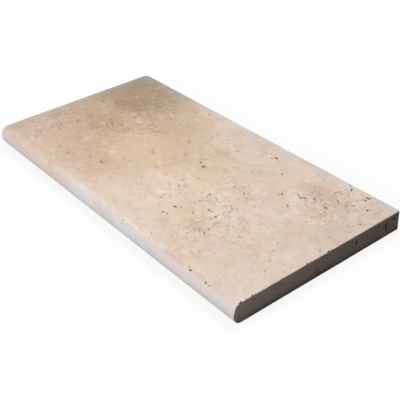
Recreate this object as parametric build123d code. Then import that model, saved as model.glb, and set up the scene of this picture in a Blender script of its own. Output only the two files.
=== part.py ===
from build123d import *
import os
from math import sqrt

# A pool coping stone sawn from one slab of travertine, sizes in millimetres.
# X runs along the pool's edge, the rounded nose faces -Y, and Z = 0 is the bed that the stone lies on.

# The slab
stone_length = 610.0
stone_width = 305.0
stone_thickness = 32.0

# The bullnose is two quarter ellipses that meet at its foremost line.
nose_depth = 12.0
nose_height = 15.0

# Sawn edges are rubbed down a little, and the upright corners a little more.
edge_round = 1.2
corner_round = 2.0
worn_corner_round = 9.0

# Chips broken out of the top edge of the end at +X.
# Each is the distance from the nose's foremost line, the width, the drop down the end and the reach inwards.
edge_chips = [
    (15.0, 4.8, 2.4, 2.2),
    (32.0, 4.4, 2.2, 2.0),
    (125.0, 5.0, 2.4, 2.2),
    (165.0, 5.0, 2.4, 2.2),
]

# The largest open voids of the top face.
# Each is the distance from the end at +X, the distance from the nose's foremost line,
# the length, the width, the depth and the turn of the length from X in degrees.
top_voids = [
    (278.0, 176.0, 8.0, 4.0, 3.0, 10.0),
    (289.0, 181.0, 5.0, 3.5, 2.0, -30.0),
    (219.0, 278.0, 7.0, 4.0, 3.0, -60.0),
    (49.0, 294.0, 7.0, 5.0, 3.0, 20.0),
    (81.0, 296.0, 7.0, 3.0, 2.0, -60.0),
    (30.0, 271.0, 5.0, 3.0, 2.0, -50.0),
    (72.0, 258.0, 10.0, 2.5, 2.0, -25.0),
    (112.0, 230.0, 7.0, 4.0, 2.5, 30.0),
    (120.0, 227.5, 9.0, 3.0, 2.0, -20.0),
    (74.0, 233.0, 6.0, 3.5, 2.0, -30.0),
    (113.0, 197.0, 8.0, 3.0, 2.0, -15.0),
    (219.0, 78.0, 6.0, 5.0, 3.5, 15.0),
    (220.0, 55.0, 5.0, 6.0, 2.5, 0.0),
    (210.0, 133.0, 4.0, 3.5, 2.0, -40.0),
    (159.0, 105.0, 4.0, 6.0, 2.5, 15.0),
    (396.0, 66.0, 7.0, 3.0, 2.0, -35.0),
    (485.0, 43.0, 8.0, 3.0, 2.0, -20.0),
]

# Upright seams that lie open in the sawn end at +X.
# Each is the distance from the nose's foremost line, the height of the middle, the tallness, the width and the depth.
end_seams = [
    (217.5, 20.5, 10.5, 2.8, 3.0),
    (277.5, 15.5, 14.0, 3.2, 2.5),
    (99.5, 15.0, 5.0, 4.5, 2.0),
    (142.5, 14.5, 4.5, 3.5, 2.0),
]

end_x = stone_length / 2
nose_y = -stone_width / 2


def cross_section():
    """The slab's section with its rounded nose, seen along the pool's edge."""
    back_y = stone_width / 2
    flat_start = nose_y + nose_depth
    nose_center = (flat_start, nose_height)
    upper_height = stone_thickness - nose_height
    with BuildSketch(Plane.YZ) as section:
        with BuildLine():
            Line((flat_start, 0), (back_y, 0))
            Line((back_y, 0), (back_y, stone_thickness))
            Line((back_y, stone_thickness), (flat_start, stone_thickness))
            EllipticalCenterArc(nose_center, nose_depth, upper_height, 90, arc_size=90)
            EllipticalCenterArc(nose_center, nose_depth, nose_height, 180, arc_size=90)
        make_face()
    return section.sketch


def sawn_slab():
    """The section at full length, with its upright corners and its sawn edges eased."""
    slab = extrude(cross_section(), amount=end_x, both=True)
    back_corners = slab.edges().filter_by(Axis.Z).sort_by(Axis.X)
    slab = fillet(back_corners[-1], corner_round)
    worn_corner = slab.edges().filter_by(Axis.Z).sort_by(Axis.X)[0]
    slab = fillet(worn_corner, worn_corner_round)
    ends = slab.faces().filter_by(Axis.X)
    back = slab.faces().filter_by(Axis.Y)
    sawn_edges = ends.edges() + back.edges()
    sawn_edges += slab.edges().filter_by(GeomType.CIRCLE)
    upright = slab.edges().filter_by(Axis.Z)
    return fillet([edge for edge in sawn_edges if edge not in upright], edge_round)


def edge_chip(from_nose, width, drop, reach):
    """A ball that breaks a scallop of this width, drop and reach out of the end's top edge."""
    half = width / 2
    outward = (half**2 - reach**2) / (2 * reach)
    upward = (half**2 - drop**2) / (2 * drop)
    radius = sqrt(outward**2 + upward**2 + half**2)
    center = (end_x + outward, nose_y + from_nose, stone_thickness + upward)
    return Pos(*center) * Sphere(radius)


def top_void(from_end, from_nose, length, width, depth, turn):
    """An oval hollow that opens at the top face."""
    hollow = scale(Sphere(1), by=(length / 2, width / 2, depth))
    center = (end_x - from_end, nose_y + from_nose, stone_thickness)
    return Pos(*center) * Rot(Z=turn) * hollow


def end_seam(from_nose, middle_height, tallness, width, depth):
    """A narrow hollow that stands upright in the sawn end."""
    hollow = scale(Sphere(1), by=(depth, width / 2, tallness / 2))
    return Pos(end_x, nose_y + from_nose, middle_height) * hollow


def coping_stone():
    """The whole stone with its chips, voids and open seams."""
    stone = sawn_slab()
    for chip in edge_chips:
        stone -= edge_chip(*chip)
    for void in top_voids:
        stone -= top_void(*void)
    for seam in end_seams:
        stone -= end_seam(*seam)
    return stone.solid()


os.makedirs("parts", exist_ok=True)
export_step(coping_stone(), "parts/coping_stone.step")
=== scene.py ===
import math
import random

import bmesh
import bpy
from mathutils import Matrix, Vector, noise


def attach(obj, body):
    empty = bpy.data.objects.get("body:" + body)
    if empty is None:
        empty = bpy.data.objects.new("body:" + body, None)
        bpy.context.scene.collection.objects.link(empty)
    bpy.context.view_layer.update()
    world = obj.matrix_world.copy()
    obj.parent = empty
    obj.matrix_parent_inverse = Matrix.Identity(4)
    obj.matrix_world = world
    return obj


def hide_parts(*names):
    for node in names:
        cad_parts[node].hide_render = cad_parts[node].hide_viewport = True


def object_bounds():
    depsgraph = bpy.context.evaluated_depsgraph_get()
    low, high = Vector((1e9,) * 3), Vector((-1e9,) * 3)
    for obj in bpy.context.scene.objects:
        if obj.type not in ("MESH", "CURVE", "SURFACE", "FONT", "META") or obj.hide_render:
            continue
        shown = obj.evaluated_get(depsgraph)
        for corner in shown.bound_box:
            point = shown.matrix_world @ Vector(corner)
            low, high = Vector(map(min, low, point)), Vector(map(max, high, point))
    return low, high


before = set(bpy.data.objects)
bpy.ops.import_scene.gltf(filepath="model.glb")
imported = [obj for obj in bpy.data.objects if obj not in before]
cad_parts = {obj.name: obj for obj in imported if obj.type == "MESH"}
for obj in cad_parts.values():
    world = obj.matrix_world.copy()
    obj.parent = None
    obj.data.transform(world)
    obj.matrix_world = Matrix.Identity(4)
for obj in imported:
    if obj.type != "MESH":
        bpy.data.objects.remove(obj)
cad_low, cad_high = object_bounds()

# The stone's frame, in metres: X along the pool's edge, the rounded nose faces -Y, Z up from the bed.
MM = 0.001
HALF_LENGTH = cad_high.x
HALF_WIDTH = cad_high.y
THICKNESS = cad_high.z
NOSE_DEPTH = 12 * MM
NOSE_HEIGHT = 15 * MM
EDGE_ROUND = 1.25 * MM
END_ROUND = 1.1 * MM
CORNER_ROUND = 2 * MM
WORN_CORNER_ROUND = 9 * MM

# The nose's foremost line, and where the nose runs into the flat of the top face and the bed.
NOSE_Y = -HALF_WIDTH
CREST_Y = NOSE_Y + NOSE_DEPTH

# The spacing of the mesh on the flat faces, and the steps of an eased edge and of a quarter of the nose.
GRID = 3.2 * MM
EDGE_STEPS = 4
NOSE_STEPS = 12

# The most that a face dips, so that it isn't dead flat.
UNEVEN = 0.12 * MM

SEED = 12

# Voids of the top face that show one by one, in millimetres: X, Y, length, width, depth and turn in degrees.
VOIDS = (
    (256, 143, 8, 6, 4, 10), (256, 136, 6, 4, 2.5, -40), (245, 141, 8, 3, 1.2, 0),
    (224, 142, 9, 4, 3.5, -60), (275, 119, 6, 3.5, 3, -50), (233, 104.5, 13, 2.6, 2.5, -28),
    (215, 120, 6, 4, 1.8, 70), (224, 121, 5, 3, 2, -30), (254, 113, 6, 4, 1.6, 40),
    (247, 104, 6, 3, 1.8, -50), (205, 85, 7, 4, 3, -30), (206, 95, 5, 4, 1.5, 20),
    (215, 90, 6, 4, 1.5, -30), (230, 81, 6, 4, 3, -25), (236, 80, 5, 3, 1.8, -50),
    (238, 73, 5.5, 3, 2.2, -20), (183, 75, 9, 3, 2.6, -22), (190, 74, 5.5, 5, 3, 30),
    (194.5, 77, 6, 4.5, 3.5, 40), (175, 77, 4, 3, 1.2, 0), (176, 70, 5, 3, 1.2, -40),
    (165, 60, 9, 3, 2.6, -35), (163, 56, 4.5, 3, 2.2, 0), (192, 45, 9, 4, 3, -10),
    (291, 87, 4.5, 3, 2.6, -50), (287, 93, 4, 2, 1.5, -50), (261, 97, 4.5, 3, 1.8, -60),
    (252, 72, 6, 3, 1.8, -20), (265, 67, 4.5, 4, 2, 50), (253, 57, 6, 3, 1.8, -50),
    (256, 61, 5, 3, 1.4, 10), (125, 97, 6, 4, 2.4, -30), (163, 136, 8, 3, 1.8, -50),
    (215, 149, 4, 3, 2.2, 0), (104, 22, 5, 4.5, 2.2, -40), (100, 29, 5, 3, 1.6, -30),
    (127, 20, 7, 4, 2.2, -40), (135, 24, 4.5, 3, 1.2, -20), (140, 15, 4.5, 4, 1.8, -40),
    (115, 40, 4.5, 3, 1.8, 0), (160, 27, 6, 3, 1.2, -40), (238, 36, 6, 4.5, 1.2, 40),
    (284, 35, 4.5, 3, 1.8, -40), (296, 4, 5, 4, 2, -40), (293, 64, 4, 3, 1.2, 60),
    (289, 132, 5, 4, 1.6, 30), (207, 66, 6, 3, 1.2, -15), (95, -19, 5, 4, 3, -40),
    (98, -26, 4.5, 3, 2, -40), (97, -30, 3.5, 3, 1.6, 0), (125, -44, 6, 4, 3, -50),
    (145, -48, 6.5, 4.5, 3, 75), (143, -42, 4, 3, 1.6, 60), (143, -56, 4.5, 4, 1.8, 80),
    (138, -15, 7, 3, 2, -35), (145, -17, 4.5, 4, 2, 20), (151, -13, 5, 3, 1.6, 30),
    (112, -20, 7, 3, 1.8, -45), (99, -40, 7, 4, 1.6, 0), (115, -65, 4.5, 3.5, 2.2, -20),
    (94, -70, 3.5, 3, 2, 0), (180, -45, 4.5, 3, 1.8, -50), (203, -54, 5.5, 2.5, 2.4, -40),
    (194, -37, 5, 3, 1.5, -20), (161, -73, 4.5, 3, 2.2, -20), (156, -85, 6, 4, 1.8, 20),
    (164, -84, 5.5, 3, 2.6, -15), (147, -87, 5.5, 4, 1.4, 10), (148, -100, 5.5, 4, 1.6, 0),
    (125, -98, 4.5, 4, 1.2, 0), (187, -123, 5.5, 3, 1.6, -30), (192, -116, 4, 3.5, 1.2, 0),
    (267, -58, 7, 3.5, 1.5, 0), (279, -78, 5.5, 3, 1.6, -40), (248, -27, 7, 2, 1.5, -50),
    (209, -69, 4.5, 3, 1.2, 30), (297, -61, 3.5, 3, 1.8, 0), (85, 123, 8.5, 4.5, 3.6, -15),
    (80, 118, 5, 3, 2.2, 40), (91, 121, 6, 2.6, 1.4, -35), (69, 126, 4.5, 3, 1.8, -35),
    (66, 122, 4, 3, 1.6, 20), (50, 142, 4.5, 3, 1.5, -40), (27, 94, 6, 4.5, 1.8, 50),
    (-10, 103, 6, 3, 1.4, -40), (28, 24, 8, 5, 4, -5), (35, 23, 5.5, 3, 1.8, 10),
    (16.5, 27.5, 5.5, 4, 3, -35), (-19.5, 25, 5.5, 3.6, 2.4, -45), (-63, 43, 6, 4.5, 1.4, -10),
    (8, 55, 5.5, 3, 1.2, -30), (17.5, 56, 4.5, 3, 1.4, -20), (57, 41, 5.5, 3, 1.8, -40),
    (92, 68, 5, 3, 1.2, -50), (51, -3, 5.5, 3, 1.5, -40), (93, 32, 5, 3, 1.5, -40),
    (-18, -32, 7, 4, 1.8, -20), (-28, -37, 6.5, 3, 1.8, -20), (-74, -54, 6.5, 3, 1.8, -20),
    (36, -24, 6, 5, 1.8, 80), (55, -31, 5.5, 3.5, 1.5, 50), (46, -38, 6, 3, 2.4, -35),
    (34, -45, 7, 3, 1.5, -50), (50, -68, 6, 2.6, 1.8, -60), (53, -75, 7, 2.6, 1.8, -65),
    (86, -74, 7, 4.5, 3.8, 15), (94, -70, 5, 3.4, 1.8, -20), (85, -96, 6, 4.5, 2.8, 80),
    (92, -93.5, 4.5, 3.5, 2.6, -20), (27, -64, 4.5, 3, 1.6, -30), (-91, -86, 5, 3, 2.4, -40),
    (-4, -91, 4.5, 4, 1.6, 0), (-55, -76, 4.5, 3, 1.3, -20), (-181, -109, 8, 3.2, 1.5, -25),
    (-234, -42, 9, 3, 1.3, -50), (-184, -5, 9, 3, 1.3, -28), (-208, 76, 4.5, 3.5, 1.2, 0),
)

# Where small voids crowd together on the top face, in millimetres: X, Y, spread along X and Y, and how many.
CROWDS = (
    (235, 95, 50, 42, 60), (258, 62, 22, 14, 24), (185, 78, 18, 8, 12), (145, -25, 34, 22, 40),
    (100, -28, 12, 18, 16), (158, -84, 16, 12, 20), (88, -90, 12, 16, 10), (130, 22, 34, 18, 20),
    (200, -50, 44, 32, 26), (190, -120, 20, 10, 10), (40, -36, 24, 18, 9), (-22, -32, 14, 8, 5),
    (20, 26, 20, 6, 6), (-190, 60, 90, 60, 30), (150, 0, 150, 140, 90), (-100, 0, 190, 140, 50),
)

# Tinted patches of the top face: X and Y, spread along each in millimetres, strength, colour as seen.
PATCHES = (
    (-195, 25, 200, 135, 0.75, (199, 169, 139)), (-222, 86, 66, 46, 0.72, (163, 137, 112)),
    (-240, 140, 90, 32, 0.65, (170, 146, 126)), (-288, 125, 42, 45, 0.7, (158, 137, 120)),
    (-232, -18, 55, 46, 0.5, (194, 164, 140)),
    (-240, 56, 28, 14, 0.22, (166, 136, 118)), (-166, 68, 34, 26, 0.3, (206, 176, 148)),
    (-175, 10, 36, 26, 0.4, (202, 172, 140)), (-165, -95, 46, 34, 0.4, (206, 174, 144)),
    (-70, -20, 95, 50, 0.6, (231, 201, 172)), (-28, 55, 66, 34, 0.5, (221, 193, 162)),
    (-90, -85, 34, 22, 0.5, (220, 184, 150)), (-260, -110, 50, 36, 0.6, (206, 176, 158)),
    (-302, -10, 12, 110, 0.6, (188, 174, 162)), (30, 122, 70, 26, 0.5, (220, 202, 186)),
    (95, 100, 36, 30, 0.5, (222, 208, 190)), (190, 40, 62, 36, 0.4, (230, 208, 194)),
    (222, 96, 46, 30, 0.55, (209, 181, 164)), (125, -80, 36, 26, 0.5, (230, 208, 180)),
    (160, -85, 15, 9, 0.5, (198, 156, 122)), (90, -30, 26, 18, 0.4, (220, 208, 192)),
    (178, -10, 46, 30, 0.45, (230, 206, 193)), (224, -8, 14, 11, 0.5, (228, 216, 196)),
    (185, -95, 40, 24, 0.45, (230, 206, 191)), (288, 125, 40, 36, 0.6, (212, 198, 184)),
    (286, 55, 28, 44, 0.55, (211, 193, 179)), (60, -34, 52, 50, 0.55, (238, 212, 185)),
    (280, -110, 42, 42, 0.6, (230, 214, 202)), (20, -112, 60, 26, 0.5, (238, 216, 196)),
    (258, -12, 20, 14, 0.4, (214, 190, 176)), (-286, 85, 28, 62, 0.6, (162, 143, 124)),
    (-296, -55, 22, 46, 0.5, (202, 178, 164)), (34, -45, 48, 24, 0.55, (238, 217, 202)),
    (-196, -8, 48, 24, 0.35, (188, 158, 126)), (-250, 144, 50, 12, 0.5, (180, 162, 148)),
    (152, 142, 66, 12, 0.55, (208, 190, 174)), (-284, 55, 16, 22, 0.4, (186, 172, 158)),
    (-224, -66, 26, 20, 0.4, (214, 184, 162)), (-300, -125, 14, 24, 0.5, (194, 172, 156)),
    (-70, 140, 80, 12, 0.4, (232, 212, 194)), (304, -20, 14, 130, 0.5, (222, 207, 198)),
    (-284, -2, 24, 26, 0.4, (190, 170, 154)), (224, -125, 40, 18, 0.4, (224, 200, 178)),
    (168, -38, 22, 16, 0.35, (242, 224, 212)), (2, 86, 24, 18, 0.4, (236, 216, 198)),
)

# Where fine seams run round small lumps of the top face: X and Y, spread along each, strength.
SEAMED = (
    (138, -28, 48, 40, 1.0), (235, 95, 62, 56, 1.0), (155, -90, 34, 26, 0.9), (110, 30, 50, 30, 0.7),
    (200, 45, 60, 50, 0.5), (220, -50, 60, 50, 0.6), (40, -45, 50, 40, 0.6), (-60, -20, 80, 60, 0.2),
)

# Pale flecks of the top face: X, Y, length and width in millimetres, strength.
FLECKS = (
    (-160, 35, 11, 7, 1.0), (-190, 44, 9, 6, 0.9), (-173, 42, 9, 7, 0.9), (-145, 71, 9, 5, 0.9),
    (-141, 91, 6, 5, 1.0), (-162, 101, 6, 5, 0.9), (-163, 125, 5, 3, 0.9), (-218, 105, 7, 4, 1.0),
    (-188, 82, 5, 4, 0.8), (-242, 86, 5, 4, 0.8), (-149, 102, 7, 5, 0.8), (-192, 115, 8, 6, 0.8),
    (-124, 118, 20, 5, 0.5), (-117, 91, 7, 4, 0.6), (-112, 78, 5, 3, 0.7), (-199, 70, 5, 3, 0.5),
    (-173, 68, 6, 5, 0.5), (-248, 64, 6, 5, 0.5), (-268, 59, 8, 5, 0.4), (-229, 45, 9, 3, 0.6),
    (-201, 26, 5, 4, 0.8), (-255, 25, 6, 4, 0.6), (-169, 13, 13, 6, 0.8), (-211, 7, 5, 4, 0.7),
    (-196, 9, 5, 3, 0.6), (-133, 10, 7, 5, 0.7), (-119, 30, 5, 3, 0.6), (-274, -6, 9, 6, 0.7),
    (-197, -14, 9, 3, 1.0), (-218, -12, 5, 4, 0.5), (-247, -33, 8, 5, 0.8), (-215, -39, 5, 4, 1.0),
    (-190, -37, 12, 5, 0.5), (-280, -46, 6, 5, 0.6), (-239, -65, 7, 6, 0.6), (-173, -62, 10, 8, 0.8),
    (-170, -73, 6, 5, 0.7), (-191, -59, 6, 6, 0.5), (-136, -47, 6, 3, 0.7), (-118, -44, 7, 4, 0.7),
    (-106, -56, 12, 7, 0.8), (-119, -61, 7, 5, 0.5), (-252, -88, 9, 4, 0.9), (-261, -102, 5, 9, 0.8),
    (-238, -106, 6, 2.5, 0.7), (-177, -124, 7, 2.5, 0.8), (-157, -134, 7, 5, 0.7), (-286, -115, 7, 3, 0.5),
    (-123, -123, 9, 3, 0.5), (-91, -3, 11, 9, 0.6), (-93, 108, 12, 4, 0.7), (-20, 106, 11, 6, 0.7),
    (5, 22, 13, 4, 0.6), (-22, 24, 6, 3, 0.5), (-70, 38, 16, 4, 0.4), (-4, 64, 10, 2.5, 0.5),
    (35, -55, 5, 4, 0.8), (10, -57, 5, 4, 0.7), (42, -31, 5, 4, 0.9), (44, -70, 7, 5, 0.7),
    (57, -79, 4, 3, 0.7), (69, -98, 7, 5, 0.5), (60, -45, 4, 3, 0.6), (70, -17, 5, 4, 0.6),
    (-28, -20, 7, 6, 0.8), (-30, -36, 4, 3, 0.6), (-46, -19, 5, 3, 0.5), (-68, -19, 5, 3, 0.6),
    (-11, -90, 5, 3, 0.5), (-20, -105, 6, 3, 0.6), (-46, -118, 8, 4, 0.6), (-57, -106, 6, 5, 0.5),
    (-96, -101, 6, 3, 0.5), (-50, -134, 7, 4, 0.6), (180, -130, 7, 5, 1.0), (184, -115, 6, 4, 0.6),
    (108, -11, 5, 5, 0.8), (82, -110, 10, 4, 0.5), (127, -19, 7, 4, 0.6), (134, 22, 7, 4, 0.7),
    (150, 11, 6, 4, 0.6), (154, -24, 10, 5, 0.7), (163, -32, 8, 4, 0.7), (150, -50, 5, 4, 0.5),
    (132, -54, 9, 4, 0.6), (178, -41, 4, 3, 0.8), (173, -61, 14, 4, 0.5), (156, -97, 13, 4, 0.6),
    (168, -80, 4, 3, 0.6), (220, 6, 4, 3, 0.6), (221, -13, 7, 5, 0.7), (223, -22, 5, 5, 0.7),
    (250, -20, 4, 7, 0.6), (286, -1, 5, 3, 0.7), (239, -67, 6, 4, 0.6), (199, -100, 6, 6, 0.5),
    (268, -109, 5, 4, 0.6), (210, 26, 5, 4, 0.8), (188, 29, 4, 3, 0.6), (117, 43, 4, 4, 0.8),
    (136, 24, 5, 4, 0.7), (178, 139, 5, 3, 0.7), (163, 111, 5, 3, 0.7), (149, 104, 5, 3, 0.6),
    (170, 69, 5, 3, 0.8), (182, 80, 5, 3, 0.7), (237, 84, 5, 3, 0.8), (243, 109, 5, 4, 0.6),
    (250, 118, 5, 4, 0.7), (277, 97, 5, 6, 0.6), (95, 86, 7, 5, 0.5), (209, 88, 4, 3, 0.7),
    (193, 44, 5, 2.5, 0.7), (96, -66, 4, 3, 0.5), (260, 133, 5, 3, 0.7), (280, 116, 4, 3, 0.6),
    (66, -146, 8, 5, 1.0), (91, -147, 7, 5, 1.0), (112, -147, 9, 6, 1.0), (126, -147, 6, 5, 1.0),
    (140, -147, 8, 6, 1.0), (151, -144, 8, 5, 1.0), (204, -147, 9, 5, 1.0),
)

# Thin darker strokes and specks of the top face: X, Y, length, width, turn in degrees, strength.
WISPS = (
    (-184, -5, 21, 3.5, -28, 0.6), (-234, -42, 10, 3, -50, 0.75), (-60, -8, 16, 2, -35, 0.7),
    (-48, 52, 12, 5, -20, 0.4), (-281, 108, 13, 3, -50, 0.7), (-152, -108, 11, 4, -60, 0.5),
    (-92, -84, 14, 8, 0, 0.4), (-98, 139, 12, 2, -45, 0.6), (-208, 76, 5, 4, 0, 0.7),
    (-226, 62, 26, 9, 35, 0.3), (-246, 10, 10, 5, -30, 0.35), (-130, -30, 10, 2.5, -40, 0.35),
    (-12, -64, 8, 2.5, -30, 0.35), (62, 78, 8, 2.5, -30, 0.35), (160, 8, 10, 2, -20, 0.4),
    (-180, 91, 6, 4, -30, 0.6), (-239, 76, 9, 3, -30, 0.6), (-223, 88, 10, 5, -40, 0.5),
    (-250, 47, 24, 4, -30, 0.3), (-143, 97, 5, 4, 0, 0.6), (-114, 90, 4.5, 3.5, 0, 0.6),
    (-107, 82, 4, 3, 0, 0.6), (-131, 79, 6, 3, -30, 0.6), (-178, 35, 7, 3.5, -30, 0.6),
    (-210, 31, 8, 5, -20, 0.5), (-267, 30, 9, 3.5, -30, 0.7), (-284, 47, 11, 5, 35, 0.6),
    (-246, 21, 7, 4, -30, 0.5), (-171, 7, 9, 5, 20, 0.5), (-112, 37, 7, 5, 30, 0.4),
    (-129, 32, 5, 3.5, 0, 0.5), (-238, -16, 14, 7, 0, 0.3), (-242, -71, 7, 4, -30, 0.5),
    (-118, -90, 8, 4, -40, 0.5), (-136, -64, 8, 3, -40, 0.5), (-158, -33, 7, 5, 30, 0.5),
)

# Voids of the nose: X, the angle up the nose in degrees, length, width and depth in millimetres.
NOSE_VOIDS = (
    (213, 62, 4.5, 3, 2), (207, 75, 3.5, 2.5, 1.5), (245, 60, 4.5, 3, 1.5), (60, 55, 3.4, 2.2, 1.2),
    (62, 35, 2.8, 1.8, 0.8),
)

# Open seams and voids of the sawn end at +X, in millimetres: Y, height, tallness, width, depth, and the
# lean in degrees.
END_VOIDS = (
    (65, 20.6, 11, 3.4, 3.6, 7), (124.9, 15.3, 14, 4, 2.6, 7), (130, 22, 5, 2.2, 2, 70),
    (-52.6, 15, 3.6, 3.4, 1.3, 0), (-9.9, 14.2, 4.5, 3.6, 2.4, 20), (-6, 6.4, 3.4, 3, 2.2, 0),
    (-13, 10, 3, 2.4, 1.4, 0), (142, 23, 7, 3, 2, 60), (-84, 22, 3, 2, 2, 0), (34, 11, 3, 2, 1.2, 20),
    (147, 27, 5, 2.4, 2.5, 70),
)

# Chips along the top edge of that end, in millimetres: Y, width, drop and reach.
END_CHIPS = (
    (-139.2, 3.0, 4.2, 2.4), (-120.6, 3.0, 3.2, 2.0), (-117.2, 2.0, 2.0, 1.2), (-27.6, 3.6, 2.8, 1.9),
    (-22.5, 2.4, 1.8, 1.2), (12.4, 4.0, 2.8, 2.0), (17.6, 3.0, 2.2, 1.4), (-2, 2.0, 1.4, 0.8),
    (-72, 2.2, 1.2, 0.8), (62, 2.2, 1.4, 0.8),
)

# Small voids scattered over a face: how many, and how far their lengths spread above the smallest, in
# millimetres.
NOSE_SPECKS = (90, 2.2)
END_SPECKS = (26, 2.6)
BACK_SPECKS = (140, 3.2)
BED_SPECKS = (160, 4)
CROWD_SPREAD = 2.0
SMALLEST_SPECK = 0.8


def paint(red, green, blue):
    """A colour as it is seen, from 0 to 255, turned into the linear values that shaders take."""
    linear = []
    for value in (red, green, blue):
        share = value / 255
        linear.append(share / 12.92 if share <= 0.04045 else ((share + 0.055) / 1.055) ** 2.4)
    return (*linear, 1)


WHITE = (1, 1, 1, 1)
PATCH_COLORS = [Vector(paint(*patch[5])[:3]) for patch in PATCHES]

# Colours of the stone, of its marks, of the linings of its voids, and of the light and shade painted on it.
CREAM = paint(233, 214, 197)
TAN = paint(224, 200, 177)
SEAM_BROWN = paint(152, 114, 88)
PORE_BROWN = paint(150, 116, 92)
STROKE_OLIVE = paint(152, 124, 92)
# The nose's cooler, greyer tint is a painted cool sheen.
NOSE_SHEEN = paint(231, 217, 212)
FAR_NOSE_SHEEN = paint(240, 217, 204)
# A painted highlight on the nose.
HIGHLIGHT_WHITE = paint(238, 231, 232)
# Painted shade on the foot of the sides, near the floor.
FOOT_SHADE = paint(124, 118, 110)
LINING_PALE = paint(210, 190, 168)
LINING_TAN = paint(180, 152, 130)
# Painted shade deep in the voids, over the lining's own tan.
LINING_DEEP_SHADE = paint(134, 106, 86)
# In the sawn ends: painted shade in the linings, pale painted glints, and a rust-red that is part stain and
# part painted shade.
END_LINING_SHADE = paint(176, 154, 136)
END_GLINT = paint(232, 224, 216)
END_RUST_SHADE = paint(128, 76, 56)

# How finely the seams divide the stone into lumps; a higher number makes smaller lumps.
LUMP_SCALE = 62

# Gains on the colour under a mark, as red, green, blue and alpha.
PINKER = (1.02, 0.89, 0.94, 1)
PALER = (1.16, 1.26, 1.36, 1)
DULLER = (0.74, 0.66, 0.6, 1)
PALE_LUMP = (1.16, 1.2, 1.26, 1)
DULL_LUMP = (0.9, 0.84, 0.82, 1)
FAR_FLECK = (1.34, 1.46, 1.62, 1)
NEAR_FLECK = (1.14, 1.2, 1.27, 1)
FINE_FLECK = (1.2, 1.32, 1.44, 1)
WIDE_BLOTCH = (1.1, 1.13, 1.16, 1)
SMUDGE = (0.82, 0.8, 0.74, 1)
# Painted shade along the nose's crest.
CREST_SHADE = (0.92, 0.9, 0.91, 1)
GREY_BACK_RIM = (0.95, 1.04, 1.13, 1)
GREY_FAR_RIM = (0.96, 1.07, 1.13, 1)


def steps(start, end, size):
    """Evenly spaced values from start to end, both included, at most this far apart."""
    count = max(1, math.ceil(abs(end - start) / size))
    return [start + (end - start) * i / count for i in range(count + 1)]


def arc(center, radii, start, count):
    """Points and outward normals along a quarter of an ellipse in the section's plane."""
    found = []
    for i in range(count + 1):
        angle = math.radians(start + 90 * i / count)
        y = center[0] + radii[0] * math.cos(angle)
        z = center[1] + radii[1] * math.sin(angle)
        normal = Vector((math.cos(angle) / radii[0], math.sin(angle) / radii[1])).normalized()
        found.append((Vector((y, z)), normal))
    return found


def section():
    """The slab's section as points with outward normals, anticlockwise seen from +X."""
    flat_end = HALF_WIDTH - EDGE_ROUND
    side_end = THICKNESS - EDGE_ROUND
    round_radii = (EDGE_ROUND, EDGE_ROUND)
    nose_center = (CREST_Y, NOSE_HEIGHT)
    upper_radii = (NOSE_DEPTH, THICKNESS - NOSE_HEIGHT)
    lower_radii = (NOSE_DEPTH, NOSE_HEIGHT)
    points = [(Vector((y, 0)), Vector((0, -1))) for y in steps(CREST_Y, flat_end, 4 * GRID)]
    points += arc((flat_end, EDGE_ROUND), round_radii, -90, EDGE_STEPS)[1:]
    points += [(Vector((HALF_WIDTH, z)), Vector((1, 0))) for z in steps(EDGE_ROUND, side_end, GRID)[1:]]
    points += arc((flat_end, side_end), round_radii, 0, EDGE_STEPS)[1:]
    points += [(Vector((y, THICKNESS)), Vector((0, 1))) for y in steps(flat_end, CREST_Y, GRID)[1:]]
    points += arc(nose_center, upper_radii, 90, NOSE_STEPS)[1:]
    points += arc(nose_center, lower_radii, 180, NOSE_STEPS)[1:-1]
    return points


def stations():
    """Places along X and how far the section is drawn in there, to round the sawn ends."""
    flat_end = HALF_LENGTH - END_ROUND
    rounding = []
    for i in range(1, EDGE_STEPS + 1):
        angle = math.radians(90 * i / EDGE_STEPS)
        rounding.append((flat_end + END_ROUND * math.sin(angle), END_ROUND * (1 - math.cos(angle))))
    middle = [(x, 0.0) for x in steps(-flat_end, flat_end, GRID)]
    return [(-x, inset) for x, inset in reversed(rounding)] + middle + rounding


def round_corner(point, side, radius):
    """Moves a point of a square upright corner onto a round one."""
    u = (side * point.x - (HALF_LENGTH - radius)) / radius
    v = (point.y - (HALF_WIDTH - radius)) / radius
    if u <= 0 or v <= 0:
        return point
    shrink = max(u, v) / math.hypot(u, v)
    x = side * (HALF_LENGTH - radius + radius * u * shrink)
    return Vector((x, HALF_WIDTH - radius + radius * v * shrink, point.z))


def slab_mesh():
    """The sawn slab as one closed mesh, drawn in a little everywhere so that no face is dead flat."""
    outline = section()
    shape = bmesh.new()
    rings = []
    for x, inset in stations():
        ring = []
        for place, normal in outline:
            flat = place - normal * inset
            point = Vector((x, flat.x, flat.y))
            point = round_corner(point, 1, CORNER_ROUND)
            point = round_corner(point, -1, WORN_CORNER_ROUND)
            dip = UNEVEN * (0.5 + 0.5 * noise.noise(point * 45))
            point -= Vector((0, normal.x, normal.y)) * dip
            ring.append(shape.verts.new(point))
        rings.append(ring)
    count = len(outline)
    for lower, upper in zip(rings, rings[1:]):
        for i in range(count):
            j = (i + 1) % count
            shape.faces.new((lower[i], lower[j], upper[j], upper[i]))
    shape.faces.new(rings[0][::-1])
    shape.faces.new(rings[-1])
    bmesh.ops.recalc_face_normals(shape, faces=shape.faces)
    mesh = bpy.data.meshes.new("coping_stone_dressed")
    shape.to_mesh(mesh)
    shape.free()
    return mesh


def unit_ball(subdivisions):
    """Points and triangles of a ball of radius 1."""
    shape = bmesh.new()
    bmesh.ops.create_icosphere(shape, subdivisions=subdivisions, radius=1)
    points = [vert.co.copy() for vert in shape.verts]
    faces = [[vert.index for vert in face.verts] for face in shape.faces]
    shape.free()
    return points, faces


# Balls with more triangles are for longer hollows.
BALLS = [unit_ball(subdivisions) for subdivisions in (1, 2, 3)]

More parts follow.
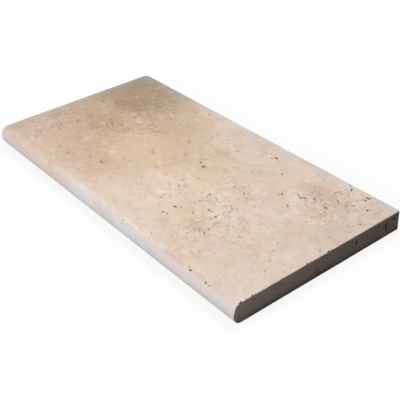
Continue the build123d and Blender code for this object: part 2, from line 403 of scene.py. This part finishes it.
# The axes of each face: two that lie in it, and the one that points out of it.
X, Y, Z = Vector((1, 0, 0)), Vector((0, 1, 0)), Vector((0, 0, 1))
TOP_AXES = (X, Y, Z)
BED_AXES = (X, -Y, -Z)
BACK_AXES = (-X, Z, Y)
NEAR_END_AXES = (Y, Z, X)
FAR_END_AXES = (-Y, Z, -X)


def nose_place(x, angle):
    """A point of the nose and its axes; the angle is 0 at the foremost line and 90 at the top face."""
    rise = THICKNESS - NOSE_HEIGHT if angle > 0 else NOSE_HEIGHT
    turned = math.radians(angle)
    y = NOSE_Y + NOSE_DEPTH * (1 - math.cos(turned))
    z = NOSE_HEIGHT + rise * math.sin(turned)
    outward = Vector((0, -math.cos(turned) / NOSE_DEPTH, math.sin(turned) / rise)).normalized()
    return Vector((x, y, z)), (X, outward.cross(X), outward)


class Hollow:
    """A lumpy ball that is cut out of the stone where it breaks through a face."""

    SINK = 0.15
    BIG_LUMPS = 0.3
    SMALL_LUMPS = 0.12
    REACH = 1.35

    def __init__(self, place, axes, length, width, depth, turn):
        """The middle lies a little under the face, and the reach leaves room for the lumps."""
        along, across, outward = axes
        swing = Matrix.Rotation(turn, 3, outward)
        half = Vector((length / 2, width / 2, depth))
        self.center = place - outward * depth * self.SINK
        self.reach = self.REACH * max(half)
        ball_points, self.faces = BALLS[(length > 1.5 * MM) + (length > 5.5 * MM)]
        self.points = []
        for unit in ball_points:
            big = self.BIG_LUMPS * noise.noise(unit * 1.3 + place * 700)
            small = self.SMALL_LUMPS * noise.noise(unit * 4 + place * 300)
            flat = along * (unit.x * half.x) + across * (unit.y * half.y)
            smooth = swing @ (flat + outward * (unit.z * half.z))
            self.points.append(self.center + smooth * (1 + big + small))

    def meets(self, other):
        """Whether this hollow may touch the other one."""
        return (self.center - other.center).length < self.reach + other.reach


def void_with_company(draw, place, length, width, depth, turn, found):
    """One open void of the top face, the lobes that make its rim ragged, and the specks beside it."""
    depth *= 0.5 if depth > 2 * MM else 0.38
    found.append(Hollow(place, TOP_AXES, length * 0.92, width * 0.78, depth, turn))
    for _ in range(2):
        angle = draw.uniform(0, math.tau)
        spread = X * math.cos(angle) * length * 0.42 + Y * math.sin(angle) * width * 0.42
        lobe_place = place + Matrix.Rotation(turn, 3, Z) @ spread
        share = draw.uniform(0.3, 0.55)
        lobe_turn = draw.uniform(0, math.pi)
        lobe_sizes = (length * share, width * share * 1.3, depth * 0.6)
        found.append(Hollow(lobe_place, TOP_AXES, *lobe_sizes, lobe_turn))
    for _ in range(draw.choice((0, 1, 2))):
        angle = draw.uniform(0, math.tau)
        away = length * draw.uniform(0.8, 1.5)
        speck_place = place + (X * math.cos(angle) + Y * math.sin(angle)) * away
        size = draw.uniform(0.8, 1.6) * MM
        found.append(Hollow(speck_place, TOP_AXES, size, size * 0.8, size * 0.4, angle))


def on_top(x, y):
    """Whether a place is well inside the flat of the top face."""
    margin = 4 * MM
    return abs(x) < HALF_LENGTH - margin and CREST_Y < y < HALF_WIDTH - margin


def small_hollow(draw, place, axes, spread):
    """A small void of a size drawn so that most are small."""
    length = (SMALLEST_SPECK + spread * draw.random() ** 3) * MM
    width = length * draw.uniform(0.4, 0.9)
    return Hollow(place, axes, length, width, width * draw.uniform(0.3, 0.7), draw.uniform(0, math.pi))


def top_hollows(draw):
    """Voids of the top face: those that show one by one, and the crowds."""
    found = []
    for x, y, length, width, depth, turn in VOIDS:
        place = Vector((x * MM, y * MM, THICKNESS))
        sizes = (length * MM, width * MM, depth * MM)
        void_with_company(draw, place, *sizes, math.radians(turn), found)
    for x, y, spread_x, spread_y, count in CROWDS:
        for _ in range(count):
            px = (x + spread_x * draw.gauss(0, 0.5)) * MM
            py = (y + spread_y * draw.gauss(0, 0.5)) * MM
            if on_top(px, py):
                found.append(small_hollow(draw, Vector((px, py, THICKNESS)), TOP_AXES, CROWD_SPREAD))
    return found


def nose_hollows(draw):
    """Voids of the nose: those that show one by one, and a scatter of small ones."""
    found = []
    for x, angle, length, width, depth in NOSE_VOIDS:
        place, axes = nose_place(x * MM, angle)
        found.append(Hollow(place, axes, length * MM, width * MM, depth * MM, 0))
    count, spread = NOSE_SPECKS
    for _ in range(count):
        place, axes = nose_place(draw.uniform(-0.98, 0.98) * HALF_LENGTH, draw.uniform(-75, 80))
        found.append(small_hollow(draw, place, axes, spread))
    return found


def end_hollows(draw):
    """Voids of the sawn ends: those that show one by one at +X, and small ones scattered over both."""
    found = []
    for y, z, tallness, width, depth, lean in END_VOIDS:
        place = Vector((HALF_LENGTH, y * MM, z * MM))
        turn = math.radians(90 + lean)
        found.append(Hollow(place, NEAR_END_AXES, tallness * MM, width * MM, depth * MM, turn))
    count, spread = END_SPECKS
    for side, axes in ((1, NEAR_END_AXES), (-1, FAR_END_AXES)):
        for _ in range(count):
            y = draw.uniform(-0.93, 0.97) * HALF_WIDTH
            z = draw.uniform(0.1, 0.9) * THICKNESS
            found.append(small_hollow(draw, Vector((side * HALF_LENGTH, y, z)), axes, spread))
    return found


def back_and_bed_hollows(draw):
    """A scatter of small voids over the back face and the bed."""
    found = []
    count, spread = BACK_SPECKS
    for _ in range(count):
        x = draw.uniform(-0.96, 0.99) * HALF_LENGTH
        z = draw.uniform(0.1, 0.9) * THICKNESS
        found.append(small_hollow(draw, Vector((x, HALF_WIDTH, z)), BACK_AXES, spread))
    count, spread = BED_SPECKS
    for _ in range(count):
        x = draw.uniform(-0.97, 0.97) * HALF_LENGTH
        y = draw.uniform(-0.88, 0.95) * HALF_WIDTH
        found.append(small_hollow(draw, Vector((x, y, 0)), BED_AXES, spread))
    return found


def edge_chips(draw):
    """Chips along the sawn edges: those that show one by one, and many small ones."""
    found = []
    end, back = X * HALF_LENGTH, Y * HALF_WIDTH
    top, low = Z * (THICKNESS - 0.3 * MM), Z * (0.3 * MM)
    for y, width, drop, reach in END_CHIPS:
        place = Vector((HALF_LENGTH, y * MM, THICKNESS - 0.3 * drop * MM))
        found.append(Hollow(place, NEAR_END_AXES, width * MM, 1.6 * drop * MM, reach * MM, 0))
    runs = (
        (top + end, Y * (0.96 * HALF_WIDTH), 18),
        (top - end, Y * (0.92 * HALF_WIDTH), 24),
        (top + back, X * (0.96 * HALF_LENGTH), 60),
        (low + end, Y * (0.9 * HALF_WIDTH), 20),
        (low - end, Y * (0.9 * HALF_WIDTH), 20),
        (low + back, X * (0.96 * HALF_LENGTH), 30),
    )
    for middle, half_run, count in runs:
        for _ in range(count):
            place = middle + half_run * draw.uniform(-1, 1)
            size = (0.8 + 1.8 * draw.random() ** 3) * MM
            along = half_run.normalized()
            axes = (along, Z.cross(along), Z)
            found.append(Hollow(place, axes, size * draw.uniform(1, 2), size, size * 0.5, 0))
    return found


def apart(hollows):
    """Sorts hollows into groups in which none meets another, so that each group is a clean cutter."""
    groups = []
    for hollow in hollows:
        for group in groups:
            if not any(hollow.meets(other) for other in group):
                group.append(hollow)
                break
        else:
            groups.append([hollow])
    return groups


def add_object(name, data):
    """A new object in the scene."""
    made = bpy.data.objects.new(name, data)
    bpy.context.scene.collection.objects.link(made)
    return made


def two_slots(mesh):
    """Gives a mesh empty material slots, 0 for the stone's faces and 1 for the linings of voids."""
    mesh.materials.append(None)
    mesh.materials.append(None)


def cutter_object(name, hollows):
    """One mesh of separate closed balls; its faces carry material 1, the lining of a void."""
    points, faces = [], []
    for hollow in hollows:
        first = len(points)
        points += hollow.points
        faces += [[first + i for i in face] for face in hollow.faces]
    mesh = bpy.data.meshes.new(name)
    mesh.from_pydata(points, [], faces)
    two_slots(mesh)
    mesh.polygons.foreach_set("material_index", [1] * len(faces))
    return add_object(name, mesh)


def islands(shape):
    """The points of a mesh, in groups that hang together."""
    left = set(shape.verts)
    groups = []
    while left:
        front = [left.pop()]
        group = set(front)
        while front:
            near = {edge.other_vert(vert) for vert in front for edge in vert.link_edges}
            front = list(near - group)
            group |= near
        left -= group
        groups.append(group)
    return groups


def drop_crumbs(mesh):
    """Takes away the loose crumbs that cutting leaves."""
    shape = bmesh.new()
    shape.from_mesh(mesh)
    for crumb in sorted(islands(shape), key=len)[:-1]:
        bmesh.ops.delete(shape, geom=list(crumb), context="VERTS")
    shape.to_mesh(mesh)
    shape.free()


def carve(stone, hollows):
    """Cuts the hollows out of the stone's mesh."""
    two_slots(stone.data)
    cutters = [cutter_object(f"cutter_{i}", group) for i, group in enumerate(apart(hollows))]
    for cutter in cutters:
        cut = stone.modifiers.new(cutter.name, "BOOLEAN")
        cut.operation = "DIFFERENCE"
        cut.solver = "MANIFOLD"
        cut.object = cutter
    depsgraph = bpy.context.evaluated_depsgraph_get()
    carved = bpy.data.meshes.new_from_object(stone.evaluated_get(depsgraph))
    stone.modifiers.clear()
    stone.data = carved
    drop_crumbs(carved)
    for cutter in cutters:
        bpy.data.meshes.remove(cutter.data)


def depth_below_faces(point):
    """How far a point lies under the nearest face of the slab."""
    depth = min(THICKNESS - point.z, point.z, HALF_LENGTH - abs(point.x), HALF_WIDTH - point.y)
    into_nose = point.y - CREST_Y
    if into_nose < 0:
        rise = THICKNESS - NOSE_HEIGHT if point.z > NOSE_HEIGHT else NOSE_HEIGHT
        radius = math.hypot(into_nose / NOSE_DEPTH, (point.z - NOSE_HEIGHT) / rise)
        depth = min(depth, (1 - radius) * NOSE_DEPTH)
    return depth


def mark_voids(mesh):
    """Stores which faces line a void, and how deep every point lies, for the material."""
    lining = mesh.attributes.new("lining", "FLOAT", "FACE")
    lining.data.foreach_set("value", [float(face.material_index == 1) for face in mesh.polygons])
    depths = mesh.attributes.new("depth", "FLOAT", "POINT")
    depths.data.foreach_set("value", [max(0.0, depth_below_faces(vert.co)) for vert in mesh.vertices])
    mesh.polygons.foreach_set("material_index", [0] * len(mesh.polygons))


def share_of_spot(point, center, spread, soft):
    """How strongly a soft-edged egg-shaped spot of the top face covers a point."""
    distance = math.hypot((point.x / MM - center[0]) / spread[0], (point.y / MM - center[1]) / spread[1])
    fade_depth = 26 * MM
    distance = math.hypot(distance, (THICKNESS - point.z) / fade_depth)
    share = min(1.0, max(0.0, (1 + soft - distance) / (2 * soft)))
    return share * share * (3 - 2 * share)


def drifted(point):
    """A point moved about by noise, so that the spots have wavy edges."""
    broad = noise.noise_vector(point * 22) * 16 * MM
    fine = noise.noise_vector(point * 80) * 5 * MM
    moved = point + broad + fine
    moved.z = point.z
    return moved


def tint_at(point):
    """The mixed tint of the patches that cover a point, and how much they cover it."""
    tint, cover = Vector((0, 0, 0)), 0.0
    for (x, y, spread_x, spread_y, strength, _), color in zip(PATCHES, PATCH_COLORS):
        share = strength * share_of_spot(point, (x, y), (spread_x, spread_y), 0.6)
        tint = tint * (1 - share) + color * share
        cover += (1 - cover) * share
    return (*(tint / max(cover, 1e-6)), cover)


def seam_density_at(point):
    """How thickly the fine seams run at a point, thinly outside the seamed places."""
    density = 0.15
    for x, y, spread_x, spread_y, strength in SEAMED:
        density = max(density, strength * share_of_spot(point, (x, y), (spread_x, spread_y), 0.5))
    return density


def fleck_at(point):
    """How strongly the nearest pale fleck shows at a point of the top face or of the nose's crest."""
    if point.z <= THICKNESS - 3 * MM:
        return 0.0
    drift = noise.noise_vector(point * 170) * 2.4
    x, y = point.x / MM + drift.x, point.y / MM + drift.y
    halo = 2.5
    shown = 0.0
    for fleck_x, fleck_y, length, width, strength in FLECKS:
        if abs(x - fleck_x) < length + 4 and abs(y - fleck_y) < width + 4:
            distance = math.hypot((x - fleck_x) / (length / 2 + halo), (y - fleck_y) / (width / 2 + halo))
            shown = max(shown, strength * (1.3 - distance))
    return shown


def mark_tints(mesh):
    """Stores the tinted patches, the density of seams and the pale flecks at every point."""
    tints, densities, pale = [], [], []
    for vert in mesh.vertices:
        point = drifted(vert.co)
        tints += tint_at(point)
        densities.append(seam_density_at(point))
        pale.append(fleck_at(vert.co))
    mesh.attributes.new("tint", "FLOAT_COLOR", "POINT").data.foreach_set("color", tints)
    mesh.attributes.new("seamed", "FLOAT", "POINT").data.foreach_set("value", densities)
    mesh.attributes.new("fleck", "FLOAT", "POINT").data.foreach_set("value", pale)


def add_camera():
    """The photograph's viewpoint, fitted to the stone's outline."""
    place = Vector((0.8737, -0.6189, 0.6776))
    turn, down, roll = math.radians(52.37), math.radians(33.68), math.radians(-2.537)
    data = bpy.data.cameras.new("camera")
    data.sensor_width = 36
    data.lens = 72.777
    data.shift_x = -0.025
    data.clip_start = 0.01
    camera = add_object("camera", data)
    aim = Matrix.Rotation(turn, 4, "Z") @ Matrix.Rotation(math.pi / 2 - down, 4, "X")
    camera.matrix_world = Matrix.Translation(place) @ aim @ Matrix.Rotation(roll, 4, "Z")
    bpy.context.scene.camera = camera


def add_area(name, place, target, size, power, color):
    """A square soft light that faces a point."""
    data = bpy.data.lights.new(name, "AREA")
    data.shape = "SQUARE"
    data.size = size
    data.energy = power
    data.color = color
    lamp = add_object(name, data)
    aim = (Vector(target) - Vector(place)).to_track_quat("-Z", "Y")
    lamp.matrix_world = Matrix.Translation(place) @ aim.to_matrix().to_4x4()
    lamp.visible_camera = False


def add_lights():
    """Soft light from above and behind, a cooler fill from the nose's side, and a touch on the near end."""
    warm, cool, cream = (1.0, 0.985, 0.965), (0.9, 0.95, 1.0), (1.0, 0.97, 0.94)
    add_area("key", (-0.5, 1.7, 3.1), (0, 0, 0), size=2.4, power=109, color=warm)
    add_area("side", (-0.1, -2.6, 1.05), (0, 0, 0.02), size=1.3, power=62, color=cool)
    add_area("front", (0.52, -0.46, 0.24), (0.3, -0.12, 0.02), size=0.15, power=0.2, color=cream)


class Graph:
    """Short calls that add linked nodes to a material or world."""

    def __init__(self, owner):
        owner.use_nodes = True
        self.tree = owner.node_tree
        self.tree.nodes.clear()

    def node(self, kind, inputs, **settings):
        """A node with its settings; each input is a value, or a socket that is linked to it."""
        made = self.tree.nodes.new("ShaderNode" + kind)
        for name, value in settings.items():
            setattr(made, name, value)
        for key, value in inputs.items():
            if isinstance(value, bpy.types.NodeSocket):
                self.tree.links.new(value, made.inputs[key])
            else:
                made.inputs[key].default_value = value
        return made

    def math(self, operation, first, second=0.0, clamp=False):
        return self.node("Math", {0: first, 1: second}, operation=operation, use_clamp=clamp).outputs[0]

    def times(self, first, *others):
        """The product of two or more values."""
        for other in others:
            first = self.math("MULTIPLY", first, other)
        return first

    def noise(self, place, scale, detail=3.0, roughness=0.55, distortion=0.0):
        """Noise from 0 to 1; the scale is in waves per metre."""
        inputs = {"Vector": place, "Scale": scale, "Detail": detail, "Roughness": roughness}
        return self.node("TexNoise", inputs | {"Distortion": distortion}).outputs[0]

    def ramp(self, value, low, high, bottom=0.0, top=1.0):
        """Runs smoothly from bottom to top as the value goes from low to high."""
        inputs = {"Value": value, "From Min": low, "From Max": high, "To Min": bottom, "To Max": top}
        return self.node("MapRange", inputs, interpolation_type="SMOOTHSTEP").outputs[0]

    def mix(self, factor, first, second, blend="MIX"):
        inputs = {0: factor, 6: first, 7: second}
        return self.node("Mix", inputs, data_type="RGBA", blend_type=blend).outputs[2]

    def tinted(self, mask, color, gain):
        """The colour multiplied by a gain as far as the mask covers it."""
        return self.mix(mask, color, gain, "MULTIPLY")

    def moved(self, place, scale, offset=(0, 0, 0)):
        return self.node("Mapping", {"Vector": place, "Scale": scale, "Location": offset}).outputs[0]

    def shifted(self, place, *offset):
        """The place moved in metres, so that the same kind of noise differs."""
        return self.moved(place, (1, 1, 1), offset)

    def axes(self, place):
        """X, Y and Z of a place."""
        return self.node("SeparateXYZ", {0: place}).outputs

    def vector(self, operation, *values):
        return self.node("VectorMath", dict(enumerate(values)), operation=operation).outputs

    def cells(self, place, scale, **settings):
        return self.node("TexVoronoi", {"Vector": place, "Scale": scale}, **settings).outputs

    def stored(self, name):
        """A value that the mesh stores."""
        return self.node("Attribute", {}, attribute_name=name).outputs["Fac"]


def seen_directly(graph):
    """1 for rays from the camera, mirrors or glass, 0 for the rest."""
    path = graph.node("LightPath", {}).outputs
    mirrored = graph.math("ADD", path["Is Camera Ray"], path["Is Glossy Ray"])
    return graph.math("ADD", mirrored, path["Is Transmission Ray"], clamp=True)


def add_world():
    """White where it is seen, and a faint fill elsewhere."""
    world = bpy.data.worlds.new("world")
    graph = Graph(world)
    fill = graph.node("Background", {"Color": (0.9, 0.95, 1.0, 1), "Strength": 0.01})
    white = graph.node("Background", {"Color": WHITE, "Strength": 1.0})
    shown = graph.node("MixShader", {0: seen_directly(graph), 1: fill.outputs[0], 2: white.outputs[0]})
    graph.node("OutputWorld", {"Surface": shown.outputs[0]})
    bpy.context.scene.world = world


def floor_material():
    """Pale floor that stays white behind the stone and keeps its shadow."""
    material = bpy.data.materials.new("floor")
    graph = Graph(material)
    glow = graph.node("Emission", {"Color": WHITE, "Strength": 1.0})
    pale = graph.node("BsdfDiffuse", {"Color": WHITE})
    x, y, _ = graph.axes(graph.node("NewGeometry", {}).outputs["Position"])
    beyond_end = graph.math("SUBTRACT", graph.math("ABSOLUTE", x), HALF_LENGTH)
    beyond_side = graph.math("SUBTRACT", graph.math("ABSOLUTE", y), HALF_WIDTH)
    beyond = graph.math("MAXIMUM", beyond_end, beyond_side)
    shadowed = graph.ramp(beyond, 250 * MM, 1200 * MM, 0.12, 0.0)
    seen = graph.node("MixShader", {0: shadowed, 1: glow.outputs[0], 2: pale.outputs[0]})
    dim = graph.ramp(y, -0.3 * HALF_WIDTH, HALF_WIDTH, 1.0, 0.6)
    bounced = graph.times(graph.ramp(beyond, 0, 90 * MM, 0.02, 0.18), dim)
    dull = graph.node("BsdfDiffuse", {"Color": bounced})
    shown = graph.node("MixShader", {0: seen_directly(graph), 1: dull.outputs[0], 2: seen.outputs[0]})
    graph.node("OutputMaterial", {"Surface": shown.outputs[0]})
    return material


def add_floor():
    """A wide level floor just under the bed."""
    size, drop = 6.0, 0.3 * MM
    mesh = bpy.data.meshes.new("floor")
    corners = [(x, y, -drop) for x, y in ((-size, -size), (size, -size), (size, size), (-size, size))]
    mesh.from_pydata(corners, [], [(0, 1, 2, 3)])
    mesh.materials.append(floor_material())
    floor = add_object("floor", mesh)


def bent(graph, place, scale, reach):
    """The place moved about by noise, so that shapes drawn from it come out irregular."""
    drift = graph.node("TexNoise", {"Vector": place, "Scale": scale, "Detail": 3.0}).outputs["Color"]
    offset = graph.vector("MULTIPLY_ADD", drift, (2 * reach,) * 3, (-reach,) * 3)[0]
    return graph.vector("ADD", place, offset)[0]


def top_spot(graph, place, length, width, soft, strength):
    """A soft-edged egg-shaped mask round the middle of the top face; the edge fades over the soft share."""
    radii = (length / 2, width / 2, 10)
    scale = [1 / (radius * MM) for radius in radii]
    local = graph.moved(place, scale, (0, 0, -THICKNESS * scale[2]))
    distance = graph.vector("LENGTH", local)["Value"]
    return graph.ramp(distance, 1 - soft, 1 + soft, strength, 0.0)


def clouds(graph, place):
    """The broad tints: beds of tan and cream, and the patches that the top face shows."""
    beds = graph.noise(graph.moved(place, (1, 1, 8)), 16, 4)
    color = graph.mix(graph.ramp(beds, 0.3, 0.7), TAN, CREAM)
    tint = graph.node("Attribute", {}, attribute_name="tint").outputs
    return graph.mix(tint["Alpha"], color, tint["Color"])


def lively(graph, place):
    """How strong the small marks are: most at the far end, where the stone is browner."""
    return graph.ramp(graph.axes(place)[0], -160 * MM, -50 * MM, 1.0, 0.62)


def mottle(graph, place, color):
    """Small lumps and grains of slightly different tints."""
    pink = graph.noise(place, 60, 5, 0.62, 0.6)
    pale = graph.noise(graph.shifted(place, 3, 1, 2), 85, 5, 0.65, 0.8)
    dull = graph.noise(graph.shifted(place, 7, 5, 1), 110, 5, 0.65, 0.5)
    tints = graph.mix(graph.ramp(pink, 0.46, 0.66, 0.0, 0.5), WHITE, PINKER)
    tints = graph.tinted(graph.ramp(pale, 0.5, 0.7, 0.0, 0.45), tints, PALER)
    tints = graph.tinted(graph.ramp(dull, 0.52, 0.75, 0.0, 0.5), tints, DULLER)
    return graph.tinted(lively(graph, place), color, tints)


def seams(graph, place):
    """Fine broken seams round small lumps, and the tints of those lumps."""
    wavy = bent(graph, bent(graph, place, 45, 9 * MM), 190, 3 * MM)
    crowd = graph.stored("seamed")
    from_edge = graph.cells(wavy, LUMP_SCALE, feature="DISTANCE_TO_EDGE")["Distance"]
    outlines = graph.ramp(from_edge, 0.01, 0.07, 1.0, 0.0)
    contour = graph.math("ABSOLUTE", graph.math("SUBTRACT", graph.noise(wavy, 38, 3), 0.5))
    outlines = graph.math("MAXIMUM", outlines, graph.ramp(contour, 0.002, 0.014, 0.8, 0.0))
    broken = graph.ramp(graph.noise(place, 75, 3), 0.44, 0.58)
    dotted = graph.ramp(graph.noise(place, 280, 2), 0.4, 0.56, 0.15, 1.0)
    return graph.times(outlines, graph.times(broken, dotted, crowd)), lump_tints(graph, wavy, crowd)


def lump_tints(graph, place, crowd):
    """A gain for the colour of each lump between the seams, paler or duller than its neighbours."""
    tone = graph.node("SeparateColor", {"Color": graph.cells(place, LUMP_SCALE)["Color"]}).outputs[0]
    tints = graph.mix(graph.ramp(tone, 0.55, 1.0), WHITE, PALE_LUMP)
    tints = graph.mix(graph.ramp(tone, 0.4, 0.0), tints, DULL_LUMP)
    return graph.mix(graph.ramp(crowd, 0.1, 0.8, 0.05, 0.38), WHITE, tints)


def placed_flecks(graph, place, color):
    """Pale flecks that show one by one, ragged at their edges and brightest towards the far end."""
    shown = graph.stored("fleck")
    rough = graph.times(graph.math("SUBTRACT", graph.noise(place, 280, 5, 0.65), 0.5), 2.4)
    ragged = graph.ramp(graph.math("ADD", shown, rough), 0.2, 0.95)
    x = graph.axes(place)[0]
    gain = graph.mix(graph.ramp(x, -120 * MM, 0), FAR_FLECK, NEAR_FLECK)
    inside = graph.ramp(shown, 0.05, 0.35)
    mask = graph.times(ragged, graph.ramp(x, -160 * MM, 0, 0.62, 0.8), inside)
    return graph.tinted(mask, color, gain)


def scattered_flecks(graph, place, color):
    """Drifts of small flecks, wider blotches and smudges, faintest where the seams crowd."""
    drifts = graph.ramp(graph.noise(place, 17, 3), 0.4, 0.6, 0.25, 1.0)
    calm = graph.ramp(graph.stored("seamed"), 0.15, 0.6, 1.0, 0.3)
    calm = graph.times(calm, drifts, lively(graph, place))
    fine = graph.ramp(graph.noise(graph.shifted(place, 11, 2, 5), 105, 4, 0.62, 1.0), 0.57, 0.68, 0.0, 0.7)
    wide = graph.ramp(graph.noise(graph.shifted(place, 5, 9, 2), 62, 6, 0.7, 1.6), 0.53, 0.6)
    smudged = graph.ramp(graph.noise(graph.shifted(place, 8, 3, 6), 48, 5, 0.6, 1.0), 0.53, 0.64)
    for mask, gain in ((fine, FINE_FLECK), (wide, WIDE_BLOTCH), (smudged, SMUDGE)):
        color = graph.tinted(graph.times(mask, calm), color, gain)
    return color


def wisps(graph, place, color):
    """Thin darker strokes of tan and olive, most of them in the far half."""
    stroke = bent(graph, bent(graph, place, 60, 5 * MM), 300, 1.5 * MM)
    for x, y, length, width, turn, strength in WISPS:
        local = graph.vector("SUBTRACT", stroke, (x * MM, y * MM, 0))[0]
        swing = {"Vector": local, "Angle": -math.radians(turn)}
        turned = graph.node("VectorRotate", swing, rotation_type="Z_AXIS").outputs[0]
        mask = top_spot(graph, turned, length, width, 0.6, strength)
        color = graph.mix(mask, color, STROKE_OLIVE)
    return color


def pocks(graph, place):
    """Specks of open pores too small to cut, in drifts."""
    cells = graph.cells(bent(graph, place, 500, 1 * MM), 300)
    chance = graph.node("SeparateColor", {"Color": cells["Color"]}).outputs[1]
    drifts = graph.ramp(graph.noise(place, 42, 3), 0.42, 0.62)
    size = graph.times(graph.ramp(chance, 0.72, 1.0, 0.0, 0.34), drifts)
    return graph.ramp(graph.math("SUBTRACT", size, cells["Distance"]), 0.0, 0.12)


def nose_painted_light(graph, place, color):
    """Paints a cool, greyer sheen on the nose, adds a painted pale highlight that fades towards its crest,
    and paints shade on the crest at +X.
    """
    x, y, _ = graph.axes(place)
    # Painted cool sheen: the nose is tinted greyer towards its foremost line.
    sheen_tint = graph.mix(graph.ramp(x, -170 * MM, -40 * MM), FAR_NOSE_SHEEN, NOSE_SHEEN)
    sheen = graph.ramp(y, NOSE_Y, NOSE_Y + 0.75 * NOSE_DEPTH, 0.6, 0.0)
    color = graph.mix(sheen, color, sheen_tint)
    # Painted highlight: pale patches across the nose, fading towards the crest and towards both ends.
    painted_highlight = graph.ramp(graph.noise(graph.moved(place, (0.5, 1, 1)), 55, 3, 0.55), 0.34, 0.62, 0.25, 0.8)
    wander = graph.times(graph.math("SUBTRACT", graph.noise(place, 75, 4, 0.6), 0.5), 18 * MM)
    below = graph.ramp(graph.math("ADD", y, wander), NOSE_Y + 2 * MM, NOSE_Y + 11 * MM, 1.0, 0.0)
    from_far_end = graph.ramp(x, -150 * MM, 0, 0.1, 1.0)
    from_near_end = graph.ramp(x, 100 * MM, 160 * MM, 1.0, 0.35)
    color = graph.mix(graph.times(painted_highlight, below, from_far_end, from_near_end), color, HIGHLIGHT_WHITE)
    # Painted shade on the nose's crest towards +X.
    above_nose = graph.ramp(y, NOSE_Y + 3 * MM, NOSE_Y + 6.5 * MM)
    before_top = graph.ramp(y, NOSE_Y + 8 * MM, CREST_Y, 1.0, 0.0)
    crest_shade = graph.times(above_nose, before_top, graph.ramp(x, 60 * MM, 160 * MM))
    return graph.tinted(crest_shade, color, CREST_SHADE)


def greyed_rims_and_foot_shade(graph, place, color):
    """Greys the stone towards its back edge and its far end, and paints shade on the foot of its sides, just
    above the bed.
    """
    x, y, z = graph.axes(place)
    back_rim = graph.ramp(y, HALF_WIDTH - 26 * MM, HALF_WIDTH - 4 * MM)
    far_rim = graph.ramp(x, -HALF_LENGTH + 3 * MM, -HALF_LENGTH + 15 * MM, 1.0, 0.0)
    color = graph.tinted(far_rim, graph.tinted(back_rim, color, GREY_BACK_RIM), GREY_FAR_RIM)
    # Painted shade low on the sides, strongest just above the bed and weaker under the nose.
    low = graph.ramp(z, 1 * MM, 12 * MM, 1.0, 0.0)
    above_bed = graph.ramp(z, 0.2 * MM, 0.6 * MM)
    foot_shade = graph.times(low, above_bed, graph.ramp(y, NOSE_Y, NOSE_Y + 45 * MM, 0.55, 0.95))
    return graph.mix(foot_shade, color, FOOT_SHADE)


def lined(graph, place, color):
    """Darkens the lining of voids with their depth, a painted shade over the lining's own tan; in the sawn
    ends the lining is a painted shade with pale painted glints, and rust-red further in, part stain and part
    painted shade.
    """
    depth = graph.stored("depth")
    shallow = graph.mix(graph.noise(place, 240, 4), LINING_PALE, LINING_TAN)
    # Painted shade: the lining darkens with depth, as shade deepens in a hollow.
    shaded_lining = graph.mix(graph.ramp(depth, 0.4 * MM, 3.0 * MM), shallow, LINING_DEEP_SHADE)
    along = graph.math("ABSOLUTE", graph.axes(place)[0])
    sawn_end = graph.ramp(along, HALF_LENGTH - 7 * MM, HALF_LENGTH - 4 * MM)
    # Sawn ends: chips and slots painted dark as shade, with pale painted glints, and rust-red deeper in,
    # part stain and part painted shade.
    shade_and_glints = graph.mix(graph.ramp(graph.noise(place, 500, 3), 0.52, 0.62), END_LINING_SHADE, END_GLINT)
    rust_and_shade = graph.mix(graph.ramp(depth, 0.5 * MM, 1.6 * MM), shade_and_glints, END_RUST_SHADE)
    shaded_lining = graph.mix(sawn_end, shaded_lining, rust_and_shade)
    cover = graph.math("MAXIMUM", graph.ramp(depth, 0.0, 0.6 * MM, 0.1, 0.95), sawn_end)
    return graph.mix(graph.times(graph.stored("lining"), cover), color, shaded_lining)


def relief(graph, place, seam, pock):
    """The normals of a fine grain and a soft swell, with the seams and pores sunk into them."""
    grain = graph.times(graph.noise(place, 700, 4, 0.7), 0.5)
    swell = graph.times(graph.noise(place, 130, 3), 0.9)
    height = graph.math("SUBTRACT", graph.math("ADD", grain, swell), graph.times(seam, 0.5))
    height = graph.math("SUBTRACT", height, pock)
    return graph.node("Bump", {"Height": height, "Strength": 0.5, "Distance": 0.28 * MM}).outputs[0]


def stone_material():
    """Travertine: clouds of tan and cream, lumps with fine seams round them, pale flecks, dark voids with
    painted shade in them, and painted light and shade on the nose and the foot.
    """
    material = bpy.data.materials.new("travertine")
    graph = Graph(material)
    place = graph.node("TexCoord", {}).outputs["Object"]
    seam, lump_tint = seams(graph, place)
    pock = pocks(graph, place)
    color = graph.tinted(1.0, mottle(graph, place, clouds(graph, place)), lump_tint)
    color = graph.mix(graph.times(seam, 0.6), color, SEAM_BROWN)
    for marks in (placed_flecks, scattered_flecks, wisps):
        color = marks(graph, place, color)
    color = graph.mix(graph.times(pock, 0.6), color, PORE_BROWN)
    # The last layers: the nose's painted light, the greyed rims and painted foot shade, and the linings of
    # voids with their painted shade.
    for stains_and_painted_light in (nose_painted_light, greyed_rims_and_foot_shade, lined):
        color = stains_and_painted_light(graph, place, color)
    rough = graph.ramp(graph.noise(place, 60, 4), 0.3, 0.7, 0.58, 0.74)
    inputs = {"Base Color": color, "Roughness": rough, "Specular IOR Level": 0.2}
    inputs["Normal"] = relief(graph, place, seam, pock)
    graph.node("OutputMaterial", {"Surface": graph.node("BsdfPrincipled", inputs).outputs[0]})
    return material


def add_stone():
    """The dressed stone: the slab with its hollows cut out, its marks stored and its material on."""
    stone = add_object("coping_stone_dressed", slab_mesh())
    draw = random.Random(SEED)
    hollows = []
    for kind in (top_hollows, nose_hollows, end_hollows, back_and_bed_hollows, edge_chips):
        hollows += kind(draw)
    carve(stone, hollows)
    mark_voids(stone.data)
    mark_tints(stone.data)
    stone.data.materials.clear()
    stone.data.materials.append(stone_material())
    stone.data.shade_smooth()
    stone.data.set_sharp_from_angle(angle=math.radians(32))
    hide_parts("coping_stone")
    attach(stone, "root")


bpy.context.scene.view_settings.view_transform = "Standard"
add_camera()
add_world()
add_lights()
add_floor()
add_stone()
